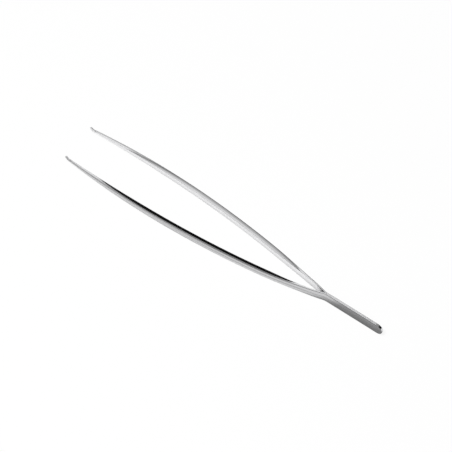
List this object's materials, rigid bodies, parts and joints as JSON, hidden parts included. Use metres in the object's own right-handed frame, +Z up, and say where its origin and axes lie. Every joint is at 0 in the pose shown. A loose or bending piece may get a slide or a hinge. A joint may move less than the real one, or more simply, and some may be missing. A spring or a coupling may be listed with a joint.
{
  "type": "aquascaping tweezers",
  "caption": "Long sprung tweezers with slim polished steel blades welded at a flat tail, bowed arms and fine tips that turn up.",
  "frame": {"origin": "under the middle of the tweezers, on the surface that they lie on", "axes": "+X from the tips to the welded tail, +Y across the opening towards the right blade, +Z up, the way the tips turn"},
  "size_m": [0.27, 0.0374, 0.0104],
  "materials": {
    "polished_steel": "polished stainless steel with a fine lengthwise grain",
    "weld_metal": "solidified weld nugget, hidden between the blades"
  },
  "bodies": {
    "tail": {"left_blade_tail": "polished_steel", "right_blade_tail": "polished_steel", "spot_welds": "weld_metal"},
    "left_arm": {"left_blade_arm": "polished_steel"},
    "right_arm": {"right_blade_arm": "polished_steel"}
  },
  "joints": [
    {"name": "left_flex", "type": "hinge", "parent": "tail", "child": "left_arm", "pos_m": [0.057, -0.00635, 0.0052], "axis": [0, 0, -1], "range_deg": [0, 4.28], "stiffness_Nm_per_rad": 4.2},
    {"name": "right_flex", "type": "hinge", "parent": "tail", "child": "right_arm", "pos_m": [0.057, 0.00635, 0.0052], "axis": [0, 0, 1], "range_deg": [0, 4.28], "stiffness_Nm_per_rad": 4.2}
  ]
}
